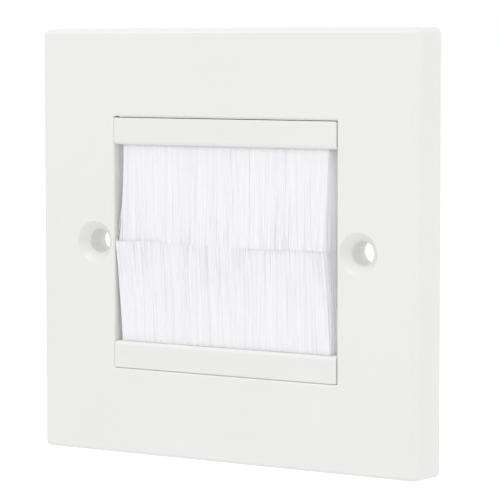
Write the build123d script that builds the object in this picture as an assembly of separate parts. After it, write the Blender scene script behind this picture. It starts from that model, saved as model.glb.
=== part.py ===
from build123d import *
import os
from random import Random

# A single-gang wall plate whose square window is closed by two facing brushes, so that cables can
# pass through the wall and the opening still looks shut. Millimetres throughout.
# Every piece is drawn lying on its back: x runs to the right, y up the wall, and z out of the wall,
# with the wall plane at z = 0. The last step stands the pieces up, so that the face looks along -Y.

# Faceplate: a hollow moulding with drafted sides
plate_size = 86.0
plate_depth = 9.0
draft_angle = 2.5
outline_radius = 1.2
face_edge_radius = 0.85
face_wall = 2.2
rim_wall = 2.0
cavity_corner_radius = 0.8

# Window that holds the two brush inserts
window_width = 51.0
window_height = 50.7
window_corner_radius = 0.2
window_edge_radius = 0.45

# Screw holes on the standard fixing centres of a single wall box
screw_spacing = 60.3
screw_hole_diameter = 4.8
countersink_diameter = 8.2
countersink_depth = 2.0
boss_diameter = 6.6
boss_edge_chamfer = 0.3

# Guide walls above and below the window, and ribs inside the hollow
guide_wall = 1.2
guide_depth = 3.3
guide_edge_chamfer = 0.4
rib_wall = 1.0
rib_depth = 2.6
boss_rib_depth = 4.2

# Brush carriers: a bar that closes the window's edge, on a U-shaped frame behind the face
side_gap = 0.1
end_gap = 0.16
settle_share = 0.65
seam_gap = 0.2
bar_height = 5.35
bar_front_wall = 0.8
bar_rear_wall = 1.0
bar_end_wall = 1.7
bar_corner_radius = 0.3
bar_lip_radius = 0.75
bar_edge_radius = 0.25
rail_width = 1.2
rail_gap = 0.05
rail_edge_chamfer = 0.3

# Snap hooks moulded on the back of the faceplate
hook_height = 13.5
hook_wall = 1.2
hook_width = 6.0
hook_gap = 0.2
hook_catch = 0.9
hook_flat = 0.4
hook_slope = 0.9

# Strip brush: a folded channel, the core wire, and the bristles folded over the wire
channel_width = 4.2
channel_height = 4.0
channel_strip = 0.35
channel_bend_radius = 1.1
seat_gap = 0.05
core_wire_diameter = 0.9
fold_thickness = 0.6
bristle_gap = 0.03

# Bristle tufts between the channels, in rows from back to front, of which the front one leans most
tufts_per_row = 66
tuft_fill = 0.88
row_leans = (0.45, 0.75, 1.0)
pack_flare = 0.35
tip_scatter = 0.25
upper_seed = 11
lower_seed = 29

# How each brush lies, as pairs of a place and a value. Places run from -1 at the left end to 1 at
# the right end. Leans are shares of the free room beside the brush, and the rest are lengths.
upper_lean = (
    (-1.0, 0.0), (-0.85, 0.5), (-0.65, 0.6), (-0.42, 0.3), (-0.15, -0.6), (-0.07, -0.4),
    (-0.03, 0.8), (0.03, 1.5), (0.1, 1.2), (0.25, 0.2), (0.4, -0.2), (0.6, -0.1),
    (0.72, 0.2), (0.87, -0.2), (1.0, -0.7),
)
lower_lean = (
    (-1.0, -0.9), (-0.86, -1.2), (-0.63, -1.2), (-0.38, -1.1), (-0.15, -1.2), (0.02, -0.85),
    (0.17, -0.2), (0.34, 0.0), (0.5, -0.2), (0.68, -0.35), (0.85, -0.5), (1.0, -0.72),
)
upper_swell = ((-1.0, 0.05), (-0.15, 0.2), (0.25, 0.5), (1.0, 0.55))
lower_swell = ((-1.0, 0.55), (-0.6, 0.5), (0.1, 0.3), (0.35, 0.05), (1.0, 0.0))
seam_line = (
    (-1.0, 0.15), (-0.68, 0.35), (-0.55, -0.1), (-0.3, 0.0), (0.18, 0.1), (0.3, -0.25), (1.0, 0.05),
)

# Places that follow from the sizes above
cavity_depth = plate_depth - face_wall
plate_reach = plate_size / 2
carrier_half_width = window_width / 2 - side_gap
carrier_top = window_height / 2 - end_gap
settle_left = side_gap * settle_share
settle_down = end_gap * settle_share
bar_bottom = carrier_top - bar_height
seat_half_length = carrier_half_width - bar_end_wall
seat_width = channel_width + 2 * seat_gap
seat_front = plate_depth - bar_front_wall
frame_back = seat_front - seat_width - bar_rear_wall
frame_front = cavity_depth - rail_gap
rail_outside = carrier_half_width + rail_width
hook_inside = rail_outside + hook_gap
hook_catch_front = frame_back - rail_gap
hook_back = hook_catch_front - hook_flat - hook_slope
rib_offset = hook_inside
channel_front = seat_front - seat_gap
channel_middle = channel_front - channel_width / 2
channel_top = bar_bottom + channel_height
channel_length = 2 * (seat_half_length - seat_gap)
pack_width = channel_width - 2 * (channel_strip + bristle_gap)
pack_length = channel_length - 2 * bristle_gap
pack_top = channel_top - channel_strip - bristle_gap
side_room = (window_width - pack_length) / 2 - settle_left
tuft_rows = len(row_leans)
wire_height = pack_top - fold_thickness - core_wire_diameter / 2


def block(x_range, y_range, z_range):
    """A box between two values along each axis."""
    low, high = (Vector(*ends) for ends in zip(x_range, y_range, z_range))
    size = high - low
    return Pos((low + high) / 2) * Box(size.X, size.Y, size.Z)


def at_both_ends(shape):
    """The shape and its mirror image across the plate's upright middle plane."""
    return shape + mirror(shape, about=Plane.YZ)


def on_all_corners(shape):
    """The shape repeated in the four quarters of the plate."""
    pair = at_both_ends(shape)
    return pair + mirror(pair, about=Plane.XZ)


# Faceplate

def plate_shell():
    """The drafted outside with its rounded face edge, hollowed from the wall side."""
    outline = RectangleRounded(plate_size, plate_size, outline_radius)
    outside = extrude(outline, plate_depth, taper=draft_angle)
    face_edges = outside.faces().sort_by(Axis.Z)[-1].edges()
    outside = fillet(face_edges, face_edge_radius)
    hollow_size = plate_size - 2 * rim_wall
    hollow_outline = RectangleRounded(hollow_size, hollow_size, cavity_corner_radius)
    return outside - extrude(hollow_outline, cavity_depth, taper=draft_angle)


def cut_window(shell):
    """The shell with the square window, softened along its front edge."""
    opening = RectangleRounded(window_width, window_height, window_corner_radius)
    pierced = shell - extrude(opening, plate_depth)
    face = pierced.faces().sort_by(Axis.Z)[-1]
    return fillet(face.inner_wires()[0].edges(), window_edge_radius)


def guide_walls():
    """Low walls behind the face that locate the carriers' bars, above and below the window."""
    near = window_height / 2
    wall = block(
        (-window_width / 2, window_width / 2),
        (near, near + guide_wall),
        (cavity_depth - guide_depth, cavity_depth),
    )
    lead_in = wall.edges().filter_by(Axis.X).group_by(Axis.Z)[0].sort_by(Axis.Y)[0]
    wall = chamfer(lead_in, guide_edge_chamfer)
    return wall + mirror(wall, about=Plane.XZ)


def hollow_ribs():
    """Ribs that tie the guide walls and the screw bosses to the rim."""
    into_rim = plate_reach - rim_wall / 2
    upright = block(
        (rib_offset, rib_offset + rib_wall),
        (window_height / 2, into_rim),
        (cavity_depth - rib_depth, cavity_depth),
    )
    link = block(
        (window_width / 2, rib_offset + rib_wall),
        (window_height / 2, window_height / 2 + guide_wall),
        (cavity_depth - rib_depth, cavity_depth),
    )
    level = block(
        (screw_spacing / 2, into_rim),
        (-rib_wall / 2, rib_wall / 2),
        (cavity_depth - boss_rib_depth, cavity_depth),
    )
    return on_all_corners(upright + link) + at_both_ends(level)


def screw_bosses():
    """A round boss behind each screw hole, down to the wall plane."""
    boss = extrude(Circle(boss_diameter / 2), cavity_depth)
    foot = boss.faces().sort_by(Axis.Z)[0].edges()
    return at_both_ends(Pos(X=screw_spacing / 2) * chamfer(foot, boss_edge_chamfer))


def screw_cuts():
    """The clearance holes with the conical seats of the screw heads."""
    hole_radius = screw_hole_diameter / 2
    hole = extrude(Circle(hole_radius), plate_depth)
    seat = Cone(
        hole_radius,
        countersink_diameter / 2,
        countersink_depth,
        align=(Align.CENTER, Align.CENTER, Align.MAX),
    )
    cut = hole + Pos(Z=plate_depth) * seat
    return at_both_ends(Pos(X=screw_spacing / 2) * cut)


def snap_hooks():
    """Four hooks that catch the rails of the carriers from behind."""
    catch_tip = hook_inside - hook_catch
    outline = make_face(
        Polyline(
            (hook_inside, cavity_depth),
            (hook_inside + hook_wall, cavity_depth),
            (hook_inside + hook_wall, hook_back),
            (hook_inside, hook_back),
            (catch_tip, hook_catch_front - hook_flat),
            (catch_tip, hook_catch_front),
            (hook_inside, hook_catch_front),
            close=True,
        )
    )
    on_section = Plane(origin=(0, hook_height, 0), x_dir=(1, 0, 0), z_dir=(0, -1, 0))
    return on_all_corners(extrude(on_section * outline, hook_width / 2, both=True))


def faceplate():
    """The whole moulding in one piece."""
    body = cut_window(plate_shell())
    body += guide_walls() + hollow_ribs() + screw_bosses() + snap_hooks()
    return body - screw_cuts()


# Brush carriers, drawn as the upper one

def carrier_bar():
    """The bar that shows in the window, with a broad round on the edge that the bristles lie over."""
    bar = block(
        (-carrier_half_width, carrier_half_width),
        (bar_bottom, carrier_top),
        (frame_back, plate_depth),
    )
    outer_corners = bar.edges().filter_by(Axis.Z).group_by(Axis.Y)[-1]
    bar = fillet(outer_corners, bar_corner_radius)
    lip = bar.faces().sort_by(Axis.Z)[-1].edges().sort_by(Axis.Y)[0]
    bar = fillet(lip, bar_lip_radius)
    other_edges = bar.faces().sort_by(Axis.Z)[-1].edges().sort_by(Axis.Y)[1:]
    return fillet(other_edges, bar_edge_radius)


def carrier_frame():
    """The frame behind the face: a rail down each side of the window, joined across by the bar."""
    frame = block(
        (-rail_outside, rail_outside),
        (seam_gap / 2, carrier_top),
        (frame_back, frame_front),
    )
    frame -= block(
        (-carrier_half_width, carrier_half_width),
        (seam_gap / 2, bar_bottom),
        (frame_back, frame_front),
    )
    back_edges = frame.edges().filter_by(Axis.Y).group_by(Axis.Z)[0].sort_by(Axis.X)
    return chamfer([back_edges[0], back_edges[-1]], rail_edge_chamfer)


def brush_carrier():
    """The moulding that carries one brush, with the seat for the strip brush open towards the seam."""
    seat = block(
        (-seat_half_length, seat_half_length),
        (bar_bottom, channel_top + seat_gap),
        (seat_front - seat_width, seat_front),
    )
    return carrier_bar() + carrier_frame() - seat


# Strip brush, drawn as the upper one

def along_the_brush(section, length):
    """A section drawn with the depth across and the height up, run along the brush."""
    across = Plane(origin=(0, 0, 0), x_dir=(0, 0, 1), z_dir=(-1, 0, 0))
    return extrude(across * section, length / 2, both=True)


def hood(width, bottom, top, radius):
    """A section with a flat mouth and two rounded upper corners, about the brush's middle."""
    face = Pos(channel_middle, (bottom + top) / 2) * Rectangle(width, top - bottom)
    upper_corners = face.vertices().group_by(Axis.Y)[-1]
    return fillet(upper_corners, radius)


def brush_channel():
    """The strip folded round the roots of the bristles."""
    outside = hood(channel_width, bar_bottom, channel_top, channel_bend_radius)
    inside = hood(
        channel_width - 2 * channel_strip,
        bar_bottom,
        channel_top - channel_strip,
        channel_bend_radius - channel_strip,
    )
    return along_the_brush(outside - inside, channel_length)


def core_wire():
    """The straight wire that the bristles are folded over."""
    section = Pos(channel_middle, wire_height) * Circle(core_wire_diameter / 2)
    return along_the_brush(section, channel_length)


def bristle_fold():
    """The bristles inside the channel, bent round the wire and pressed together below it."""
    bend_radius = channel_bend_radius - channel_strip - bristle_gap
    section = hood(pack_width, bar_bottom, pack_top, bend_radius)
    around_wire = Circle(core_wire_diameter / 2 + bristle_gap)
    return along_the_brush(section - Pos(channel_middle, wire_height) * around_wire, pack_length)


def along(pairs, x):
    """The value at x that the pairs of place and value give, eased from one pair to the next."""
    place = max(-1, min(1, 2 * x / pack_length))
    for (start, low), (end, high) in zip(pairs, pairs[1:]):
        if place <= end:
            share = (place - start) / (end - start)
            return low + (high - low) * share**2 * (3 - 2 * share)


def tuft(lower_end, upper_end):
    """A tapering tuft with flat sides, from its span across, its span in depth and its height at
    either end."""
    rings = []
    for (left, right), (back, front), y in (lower_end, upper_end):
        corners = ((left, y, back), (right, y, back), (right, y, front), (left, y, front))
        rings.append([Vector(*corner) for corner in corners])
    lower, upper = rings
    sides = [
        [lower[corner - 1], lower[corner], upper[corner], upper[corner - 1]]
        for corner in range(len(lower))
    ]
    faces = [Face(Wire.make_polygon(points, close=True)) for points in (lower, upper, *sides)]
    return Solid(Shell(faces))


def row_depths(row, back, front):
    """The back and front of one row of tufts where the rows together reach from back to front."""
    step = (front - back) / tuft_rows
    margin = step * (1 - tuft_fill) / 2
    return back + row * step + margin, back + (row + 1) * step - margin


def bristles(side, lean, swell, seed):
    """The fold in the channel and the tufts. The side is 1 for the upper brush and -1 for the lower."""
    scatter = Random(seed)
    pitch = pack_length / (tufts_per_row + (tuft_rows - 1) / tuft_rows)
    margin = pitch * (1 - tuft_fill) / 2
    root_back, root_front = channel_middle - pack_width / 2, channel_middle + pack_width / 2
    tufts = []
    for row, row_lean in enumerate(row_leans):
        reach = side_room * row_lean
        first = -pack_length / 2 + pitch * row / tuft_rows
        for place in range(tufts_per_row):
            span = (first + place * pitch + margin, first + (place + 1) * pitch - margin)
            tip_span = [x + reach * along(lean, x) for x in span]
            tip_x = sum(tip_span) / len(tip_span)
            tip_front = root_front + pack_flare + along(swell, tip_x)
            tip_y = along(seam_line, tip_x) + side * (seam_gap / 2 + scatter.uniform(0, tip_scatter))
            root = (span, row_depths(row, root_back, root_front), side * bar_bottom)
            tip = (tip_span, row_depths(row, root_back - pack_flare, tip_front), tip_y)
            tufts.append(tuft(tip, root) if side > 0 else tuft(root, tip))
    fold = bristle_fold() if side > 0 else turned_over(bristle_fold())
    return fold.fuse(*tufts)


# Assembly

def turned_over(shape):
    """The upper piece turned half round, to serve as the lower one."""
    return Rot(Z=180) * shape


def settled(shape):
    """A piece of the inserts where it rests: low and to the left in the window's clearance."""
    return Pos(-settle_left, -settle_down) * shape


def stood_up(shape):
    """The piece turned from lying on its back to standing on the wall."""
    return Rot(X=90) * shape


inserts = {
    "upper_brush_carrier": brush_carrier(),
    "lower_brush_carrier": turned_over(brush_carrier()),
    "upper_brush_channel": brush_channel(),
    "lower_brush_channel": turned_over(brush_channel()),
    "upper_core_wire": core_wire(),
    "lower_core_wire": turned_over(core_wire()),
    "upper_bristles": bristles(1, upper_lean, upper_swell, upper_seed),
    "lower_bristles": bristles(-1, lower_lean, lower_swell, lower_seed),
}
pieces = {"faceplate": faceplate()}
for name, shape in inserts.items():
    pieces[name] = settled(shape)

os.makedirs("parts", exist_ok=True)
for name, shape in pieces.items():
    export_step(stood_up(shape), f"parts/{name}.step")
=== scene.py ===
import bpy
import bmesh
import math
from mathutils import Matrix, Vector
from random import Random


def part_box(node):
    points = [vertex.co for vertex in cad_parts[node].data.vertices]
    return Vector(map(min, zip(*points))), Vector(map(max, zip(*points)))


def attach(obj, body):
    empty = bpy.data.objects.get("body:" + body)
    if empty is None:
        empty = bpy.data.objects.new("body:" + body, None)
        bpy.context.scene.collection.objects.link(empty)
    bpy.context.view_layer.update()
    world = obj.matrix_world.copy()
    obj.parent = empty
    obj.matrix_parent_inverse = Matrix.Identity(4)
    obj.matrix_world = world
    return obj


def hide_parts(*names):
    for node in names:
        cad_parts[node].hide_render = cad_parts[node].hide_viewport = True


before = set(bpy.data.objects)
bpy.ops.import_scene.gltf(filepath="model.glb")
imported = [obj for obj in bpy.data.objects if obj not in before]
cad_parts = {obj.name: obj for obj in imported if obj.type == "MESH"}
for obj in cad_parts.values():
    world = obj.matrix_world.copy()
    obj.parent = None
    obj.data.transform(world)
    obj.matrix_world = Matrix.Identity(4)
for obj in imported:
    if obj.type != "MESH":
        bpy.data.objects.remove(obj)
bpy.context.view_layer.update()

MM = 0.001

# ---------------------------------------------------------------- sizes that follow the frame

plate_low, plate_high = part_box("faceplate")

FACE_Y = plate_low.y                  # front face of the plate
STRIP_AND_GAP = 0.38 * MM             # thickness of the channel's strip with the gap inside it


# ---------------------------------------------------------------- small helpers

def between(table, x):
    """A value read from a short table of (place, value) pairs, smoothly between its entries."""
    if x <= table[0][0]:
        return table[0][1]
    for (x0, v0), (x1, v1) in zip(table, table[1:]):
        if x <= x1:
            t = (x - x0) / (x1 - x0)
            t = t * t * (3 - 2 * t)
            return v0 + (v1 - v0) * t
    return table[-1][1]


def new_object(name, vertices, faces):
    mesh = bpy.data.meshes.new(name)
    mesh.from_pydata(vertices, [], faces)
    mesh.validate()
    mesh.update()
    obj = bpy.data.objects.new(name, mesh)
    bpy.context.scene.collection.objects.link(obj)
    return obj


# ---------------------------------------------------------------- materials

def start_material(name, color, roughness):
    material = bpy.data.materials.new(name)
    material.use_nodes = True
    tree = material.node_tree
    tree.nodes.clear()
    output = tree.nodes.new("ShaderNodeOutputMaterial")
    shader = tree.nodes.new("ShaderNodeBsdfPrincipled")
    shader.inputs["Base Color"].default_value = (*color, 1)
    shader.inputs["Roughness"].default_value = roughness
    tree.links.new(shader.outputs["BSDF"], output.inputs["Surface"])
    return material, tree, shader


def object_place(tree, scale=(1, 1, 1)):
    """Object coordinates stretched by a scale along each axis."""
    place = tree.nodes.new("ShaderNodeTexCoord")
    stretch = tree.nodes.new("ShaderNodeMapping")
    stretch.inputs["Scale"].default_value = scale
    tree.links.new(place.outputs["Object"], stretch.inputs["Vector"])
    return stretch.outputs["Vector"]


def noise(tree, vector, scale, detail=3.0, roughness=0.5):
    node = tree.nodes.new("ShaderNodeTexNoise")
    node.inputs["Scale"].default_value = scale
    node.inputs["Detail"].default_value = detail
    node.inputs["Roughness"].default_value = roughness
    tree.links.new(vector, node.inputs["Vector"])
    return node.outputs["Fac"]


def ramp(tree, value, low, high, color_low, color_high):
    """Two colours blended as the value goes from low to high."""
    node = tree.nodes.new("ShaderNodeValToRGB")
    node.color_ramp.elements[0].position = low
    node.color_ramp.elements[1].position = high
    node.color_ramp.elements[0].color = (*color_low, 1)
    node.color_ramp.elements[1].color = (*color_high, 1)
    tree.links.new(value, node.inputs["Fac"])
    return node.outputs["Color"]


def spread(tree, value, low, high):
    """A value from 0 to 1 mapped onto a range."""
    node = tree.nodes.new("ShaderNodeMapRange")
    node.inputs["To Min"].default_value = low
    node.inputs["To Max"].default_value = high
    tree.links.new(value, node.inputs["Value"])
    return node.outputs["Result"]


def bump(tree, value, shader, distance, strength):
    node = tree.nodes.new("ShaderNodeBump")
    node.inputs["Distance"].default_value = distance
    node.inputs["Strength"].default_value = strength
    tree.links.new(value, node.inputs["Height"])
    tree.links.new(node.outputs["Normal"], shader.inputs["Normal"])


# Noise scales, in repeats to the metre
FLOW_MARKS = 38
GLOSS_PATCHES = 140
MOULD_GRAIN = 2600
FILAMENT_STREAKS = 2400
ROLLED_STREAKS = 3000

GLOSS_CHANGE = 0.05                   # how much the roughness of plastic varies to either side
GRAIN_HEIGHT = 0.02 * MM
STREAK_RANGE = (0.3, 0.7)             # the part of the noise over which one colour turns into the other


def moulded_plastic(name, color, shade, roughness, grain):
    """White moulded plastic: faint flow marks in the colour, uneven gloss and a fine grain."""
    material, tree, shader = start_material(name, color, roughness)
    place = object_place(tree)
    flow = noise(tree, place, FLOW_MARKS, detail=2.0)
    dark = tuple(c * shade for c in color)
    tree.links.new(ramp(tree, flow, *STREAK_RANGE, dark, color), shader.inputs["Base Color"])
    gloss = noise(tree, place, GLOSS_PATCHES, detail=4.0)
    uneven = spread(tree, gloss, roughness - GLOSS_CHANGE, roughness + GLOSS_CHANGE)
    tree.links.new(uneven, shader.inputs["Roughness"])
    fine = noise(tree, place, MOULD_GRAIN, detail=2.0)
    bump(tree, fine, shader, GRAIN_HEIGHT, grain)
    shader.inputs["IOR"].default_value = 1.49
    return material


def filament_plastic(name, color, shade):
    """Drawn nylon: fine streaks along the filaments, from bluish white to a little darker."""
    material, tree, shader = start_material(name, color, 0.42)
    streaks = noise(tree, object_place(tree, (1, 1, 0.05)), FILAMENT_STREAKS, detail=2.0)
    dark = tuple(c * s for c, s in zip(color, shade))
    tree.links.new(ramp(tree, streaks, *STREAK_RANGE, dark, color), shader.inputs["Base Color"])
    shader.inputs["IOR"].default_value = 1.53
    return material


def zinc_strip(name, color, roughness):
    """Rolled zinc-plated strip with streaks along its length."""
    material, tree, shader = start_material(name, color, roughness)
    shader.inputs["Metallic"].default_value = 1.0
    streaks = noise(tree, object_place(tree, (0.04, 1, 1)), ROLLED_STREAKS, detail=3.0)
    dark = tuple(c * 0.8 for c in color)
    tree.links.new(ramp(tree, streaks, *STREAK_RANGE, dark, color), shader.inputs["Base Color"])
    tree.links.new(spread(tree, streaks, roughness - 0.08, roughness + 0.1), shader.inputs["Roughness"])
    return material


plate_plastic = moulded_plastic("plate_plastic", (0.865, 0.865, 0.85), 0.985, 0.34, 0.12)
carrier_plastic = moulded_plastic("carrier_plastic", (0.86, 0.858, 0.838), 0.98, 0.44, 0.18)
nylon = filament_plastic("nylon", (0.975, 0.971, 0.993), (0.965, 0.965, 0.975))
zinc = zinc_strip("zinc", (0.62, 0.63, 0.64), 0.35)
wire_steel = zinc_strip("wire_steel", (0.56, 0.56, 0.57), 0.3)


def paint(node, material):
    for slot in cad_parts[node].material_slots:
        slot.material = material


paint("faceplate", plate_plastic)
for side in ("upper", "lower"):
    paint(f"{side}_brush_carrier", carrier_plastic)
    paint(f"{side}_brush_channel", zinc)
    paint(f"{side}_core_wire", wire_steel)


# ---------------------------------------------------------------- plate with short screw bosses

SCREW_PLACES = (-30.15, 30.15)        # to either side of the middle, in mm
BOSS_REACH = 3.4                      # a little more than the radius of a boss, in mm
BOSS_FOOT = 0.5                       # the foot lies within this distance of the wall, in mm
BOSS_SETBACK = 1.6                    # how far a boss ends short of the wall, in mm


def plate_with_short_bosses():
    """The moulded plate with its screw bosses ending short of the wall, so that light passes."""
    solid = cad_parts["faceplate"]
    plate = bpy.data.objects.new("plate", solid.data.copy())
    bpy.context.scene.collection.objects.link(plate)
    plate.matrix_world = solid.matrix_world.copy()
    from_world = plate.matrix_world.inverted()
    for vertex in plate.data.vertices:
        place = plate.matrix_world @ vertex.co
        for screw in SCREW_PLACES:
            beside = math.hypot(place.x / MM - screw, place.z / MM)
            if beside < BOSS_REACH and place.y / MM > -BOSS_FOOT:
                vertex.co = from_world @ Vector((place.x, place.y - BOSS_SETBACK * MM, place.z))
    plate.data.materials.clear()
    plate.data.materials.append(plate_plastic)
    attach(plate, "root")
    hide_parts("faceplate")


plate_with_short_bosses()


# ---------------------------------------------------------------- bristles

# How far the tips stand beside their roots, in mm, by the place of the root along the brush in mm
UPPER_LEAN = (
    (-23.6, 0.0), (-20.0, 0.3), (-15.5, 0.4), (-10.0, 0.2), (-6.5, -0.4), (-4.0, -0.7), (-2.0, 0.0),
    (-1.0, 0.7), (0.6, 1.4), (2.4, 1.3), (5.0, 0.4), (9.0, -0.3), (13.5, -0.2), (17.0, 0.3),
    (20.5, -0.3), (23.2, -0.85),
)
LOWER_LEAN = (
    (-23.9, -1.6), (-21.5, -1.2), (-18.0, -0.5), (-13.0, -0.3), (-8.0, -0.5), (-3.5, -0.8), (0.5, -0.7),
    (4.0, -0.2), (8.0, 0.0), (12.0, -0.2), (16.0, -0.4), (20.0, -0.8), (23.5, -1.4),
)
# Height of the cut tips, in mm above the middle of the window, by the place of the tip
UPPER_TIPS = ((-24.0, 0.1), (-12.0, -0.2), (-6.0, -0.15), (4.5, -0.05), (5.6, -0.1), (24.0, 0.15))
LOWER_TIPS = (
    (-26.0, 0.15), (-15.2, 0.5), (-14.2, -0.15), (-7.0, 0.05), (4.5, 0.15), (5.6, -0.05), (24.0, 0.5),
)
# How far the front of the brush swells towards the room at its tips, in mm
UPPER_SWELL = ((-24.0, 0.3), (-4.0, 0.45), (6.0, 0.6), (24.0, 0.65))
LOWER_SWELL = ((-24.0, 0.8), (-14.0, 0.7), (2.0, 0.5), (8.0, 0.35), (24.0, 0.35))

# Ends of the brushes in the window, in mm from its middle
UPPER_EDGES = (-23.9, 23.1)
LOWER_EDGES = (-24.2, 23.45)
UPPER_SEED, LOWER_SEED = 5, 8

# Counts of the loose filaments of one brush: those at an end are as many again at the other end
FRONT_FILAMENTS = 2450
BACK_FILAMENTS = 400
END_FILAMENTS = 260

FILAMENT_RADIUS = 0.08                # in mm, thicker than a real filament, so that fewer fill the brush
RADIUS_SPREAD = (0.85, 1.15)          # range of the share of that radius
FILAMENT_TAPER = 0.2                  # share of its radius that a filament loses towards the tip
FILAMENT_SIDES = 4
FILAMENT_STEPS = 6

# How much single filaments vary round their clump, as standard deviations in mm
SINGLE_LEAN = 0.05
SINGLE_SWELL = 0.012
SINGLE_TIP = 0.06
SINGLE_WAVE = 0.04
END_LOOSENESS = 0.12                  # the lean at the right end, where they lie loosest

# Clumps of neighbouring filaments that lean, swell and end together
CLUMP_PITCH = 1.1                     # width of a clump, in mm
CLUMP_ORIGIN = 50                     # any place left of the brush, so that all places count up, in mm
CLUMP_DEPTHS = 2                      # clumps from front to back
CLUMP_LEAN = 0.06                     # standard deviations between clumps, in mm
CLUMP_SWELL = 0.025
CLUMP_TIP = 0.04
CLUMP_BOW = (1.05, 1.15)              # how late the filaments of a clump start to lean

# Filaments that part from the left end of the brush towards their tips
FANNED_FILAMENTS = 34
FAN_DEPTH = 0.2                       # share of the brush's depth, from its front, that they come from
FAN_REACH = 1.3                       # how far aside the outermost tip ends, in mm
FAN_BOW = 2.4                         # how late they part from the brush
FAN_TIP = 0.25                        # standard deviation of the height of their tips, in mm
FAN_WAVE = 0.05

# Shape of the brush
LOOSE_LAYER = 0.2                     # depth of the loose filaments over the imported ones, in mm
PACKED_PITCH = 0.13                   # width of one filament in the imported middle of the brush, in mm
PACKED_RELIEF = 0.04                  # how far every second one of these stands out, in mm
PACKED_SHORT = 0.3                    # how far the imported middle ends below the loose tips, in mm
ROOT_DEPTH = 1.2                      # how far inside the channel the modelled filaments start, in mm
LEFT_WALL, RIGHT_WALL = 25.35, 25.2   # how far to either side a tip may reach, in mm
RIGHT_FLARE_FROM = 19.5               # right of this the back of the brush spreads sideways, in mm
RIGHT_FLARE_WIDTH = 4.0               # over this length the spread grows to its full size, in mm
RIGHT_FLARE = 2.1                     # that full size at the tips, in mm
BACK_LEAN_LOSS = 0.55                 # share of the lean that the back of the brush lacks
BACK_FLARE = 0.4                      # how far the back of the brush spreads towards the wall, in mm
BACK_SHORT = 0.3                      # how much shorter the filaments at the back are, in mm
FACE_ROOM = 0.14                      # how far behind the plate's face the brush stays, in mm
SWELL_BOW = 1.3                       # how late the brush starts to swell


class Brush:
    """How the filaments of one brush run from their channel to the seam, in mm."""

    def __init__(self, side, edges, lean, tips, swell):
        channel_low, channel_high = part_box(f"{side}_brush_channel")
        self.upwards = 1 if side == "lower" else -1
        mouth = (channel_high.z if side == "lower" else channel_low.z) / MM
        self.root_z = mouth - self.upwards * ROOT_DEPTH
        self.front = (channel_low.y + STRIP_AND_GAP) / MM + FILAMENT_RADIUS
        self.deep = (channel_high.y - STRIP_AND_GAP) / MM - FILAMENT_RADIUS
        self.left, self.right = edges
        self.lean, self.tips, self.swell = lean, tips, swell

    def line(self, x0, back, stray=(0, 0, 0), bow=1.1, wave=0, phase=0):
        """Points from root to tip. back runs from 0 at the front of the brush to 1 at its back, and
        stray is what one filament adds to its lean, its swell and the height of its tip."""
        y0 = self.front + (self.deep - self.front) * back
        flare = back * min(1, max(0, (x0 - RIGHT_FLARE_FROM) / RIGHT_FLARE_WIDTH)) * RIGHT_FLARE
        lean = between(self.lean, x0) * (1 - BACK_LEAN_LOSS * back) + flare + stray[0]
        tip_x = max(-LEFT_WALL, min(RIGHT_WALL, x0 + lean))
        swell = -between(self.swell, tip_x) * (1 - back) + BACK_FLARE * back + stray[1]
        swell = max(swell, FACE_Y / MM + FACE_ROOM - y0)
        tip_z = between(self.tips, tip_x) + stray[2] - self.upwards * BACK_SHORT * back * back
        points = []
        for step in range(FILAMENT_STEPS + 1):
            t = step / FILAMENT_STEPS
            x = x0 + (tip_x - x0) * t ** bow + wave * t * math.sin(math.tau * t + phase)
            points.append((x, y0 + swell * t ** SWELL_BOW, self.root_z + (tip_z - self.root_z) * t))
        return points


def tube(points, radius, spin, vertices, faces):
    """Adds a thin closed tube round the points to the lists."""
    sides = FILAMENT_SIDES
    first = len(vertices)
    last = len(points) - 1
    for index, (x, y, z) in enumerate(points):
        r = radius * (1 - FILAMENT_TAPER * index / last)
        for side in range(sides):
            angle = spin + side * math.tau / sides
            vertices.append((x + r * math.cos(angle), y + r * math.sin(angle), z))
    for index in range(last):
        low = first + index * sides
        for side in range(sides):
            after = (side + 1) % sides
            faces.append((low + side, low + after, low + sides + after, low + sides + side))
    faces.append(tuple(first + side for side in reversed(range(sides))))
    faces.append(tuple(first + last * sides + side for side in range(sides)))


def packed_middle(way, vertices, faces):
    """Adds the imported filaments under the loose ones: a closed body, ribbed along the filaments."""
    depth = way.deep - way.front
    margin = LOOSE_LAYER / depth
    short = -way.upwards * PACKED_SHORT
    left, right = way.left + LOOSE_LAYER, way.right - LOOSE_LAYER
    columns = round((right - left) / PACKED_PITCH)
    first = len(vertices)
    for column in range(columns + 1):
        x0 = left + (right - left) * column / columns
        relief = PACKED_RELIEF * (column % 2) / depth
        for back in (margin - relief, 1 - margin + relief):
            vertices.extend(way.line(x0, back, (0, 0, short)))
    rows = FILAMENT_STEPS + 1

    def face(*corners):
        """Adds a face with its corners given as column, back and row."""
        faces.append(tuple(first + (2 * column + back) * rows + row for column, back, row in corners))

    for column in range(columns):
        after = column + 1
        for row in range(FILAMENT_STEPS):
            for back in (0, 1):
                above = row + 1
                face((column, back, row), (after, back, row), (after, back, above), (column, back, above))
        for row in (0, FILAMENT_STEPS):
            face((column, 0, row), (after, 0, row), (after, 1, row), (column, 1, row))
    for column in (0, columns):
        for row in range(FILAMENT_STEPS):
            face((column, 0, row), (column, 1, row), (column, 1, row + 1), (column, 0, row + 1))


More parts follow.
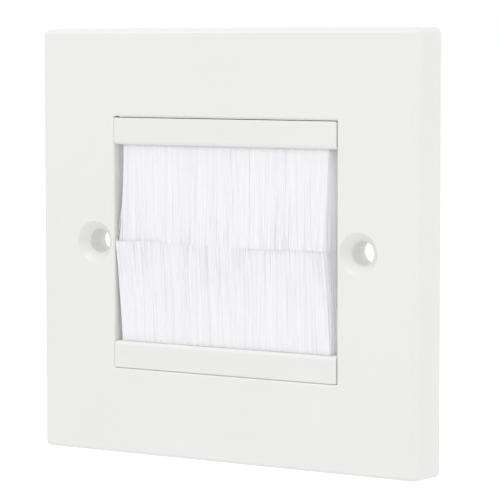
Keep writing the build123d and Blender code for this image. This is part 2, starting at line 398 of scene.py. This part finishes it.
def filament_roots(way, scatter):
    """Where the loose filaments start: over the front, over the back and over both ends."""
    length = way.right - way.left
    layer = LOOSE_LAYER / (way.deep - way.front)
    for count in range(FRONT_FILAMENTS):
        x0 = way.left + length * (count + scatter.random()) / FRONT_FILAMENTS
        yield x0, layer * scatter.random()
    for count in range(BACK_FILAMENTS):
        x0 = way.left + length * (count + scatter.random()) / BACK_FILAMENTS
        yield x0, 1 - layer * scatter.random()
    for count in range(END_FILAMENTS):
        yield way.left + LOOSE_LAYER * scatter.random(), scatter.random()
        yield way.right - LOOSE_LAYER * scatter.random(), scatter.random()


def fanned_filaments(way, scatter):
    """Filaments at the left end that part from the brush towards their tips, as lists of points."""
    for count in range(FANNED_FILAMENTS):
        out = count / FANNED_FILAMENTS
        stray = (-FAN_REACH * out, 0, way.upwards * scatter.gauss(0, FAN_TIP))
        root = way.left + LOOSE_LAYER * scatter.random()
        back = FAN_DEPTH * scatter.random()
        yield way.line(root, back, stray, FAN_BOW, scatter.gauss(0, FAN_WAVE), out)


def brush(side, edges, lean, tips, swell, strays, seed):
    """One brush as a packed middle with separate filaments all round it."""
    scatter = Random(seed)
    vertices, faces = [], []
    way = Brush(side, edges, lean, tips, swell)
    packed_middle(way, vertices, faces)
    clumps = {}
    for x0, back in filament_roots(way, scatter):
        place = (int((x0 + CLUMP_ORIGIN) / CLUMP_PITCH), int(back * CLUMP_DEPTHS))
        if place not in clumps:
            clumps[place] = (
                scatter.gauss(0, CLUMP_LEAN), scatter.gauss(0, CLUMP_SWELL), scatter.gauss(0, CLUMP_TIP),
                scatter.uniform(*CLUMP_BOW), scatter.uniform(0, math.tau),
            )
        clump_lean, clump_swell, clump_tip, bow, phase = clumps[place]
        loose = END_LOOSENESS if x0 > way.right - LOOSE_LAYER else SINGLE_LEAN
        stray = (
            clump_lean + scatter.gauss(0, loose),
            clump_swell + scatter.gauss(0, SINGLE_SWELL),
            way.upwards * (clump_tip + scatter.gauss(0, SINGLE_TIP)),
        )
        points = way.line(x0, back, stray, bow, scatter.gauss(0, SINGLE_WAVE), phase)
        radius = FILAMENT_RADIUS * scatter.uniform(*RADIUS_SPREAD)
        tube(points, radius, scatter.uniform(0, math.tau), vertices, faces)
    for points in (*strays, *fanned_filaments(way, scatter)):
        tube(points, FILAMENT_RADIUS, scatter.uniform(0, math.tau), vertices, faces)
    piece = new_object(f"{side}_filaments", [(x * MM, y * MM, z * MM) for x, y, z in vertices], faces)
    mesh = bmesh.new()
    mesh.from_mesh(piece.data)
    bmesh.ops.recalc_face_normals(mesh, faces=mesh.faces)
    mesh.to_mesh(piece.data)
    mesh.free()
    piece.data.materials.append(nylon)
    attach(piece, "root")
    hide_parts(f"{side}_bristles")


# Single filaments that stand away from the rest, as points of x, y and z in mm from root to tip
UPPER_STRAYS = (
    (
        (-23.5, -7.5, 20.8), (-23.6, -7.6, 14.0), (-24.0, -7.7, 9.0), (-24.7, -7.8, 5.0),
        (-25.2, -7.8, 1.5),
    ),
    (
        (-23.4, -7.2, 20.8), (-23.6, -7.3, 13.0), (-24.1, -7.4, 8.5), (-24.5, -7.4, 4.5),
        (-24.8, -7.4, 0.8),
    ),
    (
        (19.0, -7.7, 20.8), (19.1, -8.1, 10.0), (19.5, -8.55, 1.0), (20.0, -8.7, -1.0),
        (20.9, -8.75, -4.0),
    ),
)
LOWER_STRAYS = (
    (
        (23.3, -7.6, -21.0), (23.8, -8.2, -16.0), (23.9, -8.5, -13.1), (23.5, -8.7, -6.0),
        (22.8, -8.75, 0.2),
    ),
)

brush("upper", UPPER_EDGES, UPPER_LEAN, UPPER_TIPS, UPPER_SWELL, UPPER_STRAYS, UPPER_SEED)
brush("lower", LOWER_EDGES, LOWER_LEAN, LOWER_TIPS, LOWER_SWELL, LOWER_STRAYS, LOWER_SEED)


# ---------------------------------------------------------------- floor, light and camera

# Lengths are in metres from here on
FLOOR_DROP = 0.045                    # how far the floor lies below the plate
FLOOR_REACH = 6.0
FLOOR_WHITE = (0.93, 0.93, 0.93)
FLOOR_GLOW = 0.35                     # what only the camera sees added to the floor, so that it is white
floor_z = plate_low.z - FLOOR_DROP


def white_floor():
    """A wide pale floor under the plate."""
    corners = ((-1, -1), (1, -1), (1, 1), (-1, 1))
    places = [(x * FLOOR_REACH, y * FLOOR_REACH, floor_z) for x, y in corners]
    floor = new_object("floor", places, [(0, 1, 2, 3)])
    material, tree, shader = start_material("floor_white", FLOOR_WHITE, 0.9)
    shader.inputs["Specular IOR Level"].default_value = 0.0
    path = tree.nodes.new("ShaderNodeLightPath")
    seen = tree.nodes.new("ShaderNodeMath")
    seen.operation = "MULTIPLY"
    seen.inputs[1].default_value = FLOOR_GLOW
    tree.links.new(path.outputs["Is Camera Ray"], seen.inputs[0])
    shader.inputs["Emission Color"].default_value = (1, 1, 1, 1)
    tree.links.new(seen.outputs["Value"], shader.inputs["Emission Strength"])
    floor.data.materials.append(material)


def surround(strength):
    """The world is plain white to camera, mirror and glass rays, and a soft light elsewhere."""
    world = bpy.data.worlds.new("surround")
    bpy.context.scene.world = world
    world.use_nodes = True
    tree = world.node_tree
    tree.nodes.clear()
    output = tree.nodes.new("ShaderNodeOutputWorld")
    light = tree.nodes.new("ShaderNodeBackground")
    light.inputs["Color"].default_value = (1, 1, 1, 1)
    light.inputs["Strength"].default_value = strength
    seen = tree.nodes.new("ShaderNodeBackground")
    seen.inputs["Color"].default_value = (1, 1, 1, 1)
    seen.inputs["Strength"].default_value = 1.0
    path = tree.nodes.new("ShaderNodeLightPath")
    either = tree.nodes.new("ShaderNodeMath")
    either.operation = "MAXIMUM"
    tree.links.new(path.outputs["Is Camera Ray"], either.inputs[0])
    tree.links.new(path.outputs["Is Glossy Ray"], either.inputs[1])
    any_of = tree.nodes.new("ShaderNodeMath")
    any_of.operation = "MAXIMUM"
    tree.links.new(either.outputs["Value"], any_of.inputs[0])
    tree.links.new(path.outputs["Is Transmission Ray"], any_of.inputs[1])
    mix = tree.nodes.new("ShaderNodeMixShader")
    tree.links.new(any_of.outputs["Value"], mix.inputs["Fac"])
    tree.links.new(light.outputs["Background"], mix.inputs[1])
    tree.links.new(seen.outputs["Background"], mix.inputs[2])
    tree.links.new(mix.outputs["Shader"], output.inputs["Surface"])


def panel(name, place, size, power):
    """A square soft light that looks at the middle of the plate."""
    data = bpy.data.lights.new(name, "AREA")
    data.shape = "SQUARE"
    data.size = size
    data.energy = power
    lamp = bpy.data.objects.new(name, data)
    lamp.location = place
    lamp.rotation_euler = (-Vector(place)).to_track_quat("-Z", "Y").to_euler()
    bpy.context.scene.collection.objects.link(lamp)


white_floor()
surround(0.715)
panel("key", (-0.5, -0.72, 0.66), 0.35, 1.6)
panel("front", (0.56, -0.76, 0.3), 0.3, 0.9)
panel("side", (0.9, 0.3, 0.2), 0.4, 1.1)
panel("top", (0.1, -0.2, 1.0), 0.4, 1.45)

# The camera stands right of the plate, and its picture is shifted down to the plate
CAMERA_PLACE = (0.245556, -0.413898, 0.039986)
CAMERA_YAW = math.radians(30.5761)
CAMERA_DOWN = math.radians(3.4691)
CAMERA_ROLL = math.radians(0.0421)
CAMERA_LENS = 174.511
CAMERA_SHIFT_UP = -0.12


def place_camera():
    data = bpy.data.cameras.new("camera")
    data.sensor_width = 36.0
    data.lens = CAMERA_LENS
    data.shift_y = CAMERA_SHIFT_UP
    data.clip_start = 0.01
    data.clip_end = 50.0
    camera = bpy.data.objects.new("camera", data)
    bpy.context.scene.collection.objects.link(camera)
    turn = (
        Matrix.Rotation(CAMERA_YAW, 4, "Z")
        @ Matrix.Rotation(math.pi / 2 - CAMERA_DOWN, 4, "X")
        @ Matrix.Rotation(-CAMERA_ROLL, 4, "Z")
    )
    camera.matrix_world = Matrix.Translation(CAMERA_PLACE) @ turn
    bpy.context.scene.camera = camera


place_camera()
bpy.context.scene.view_settings.view_transform = "Standard"
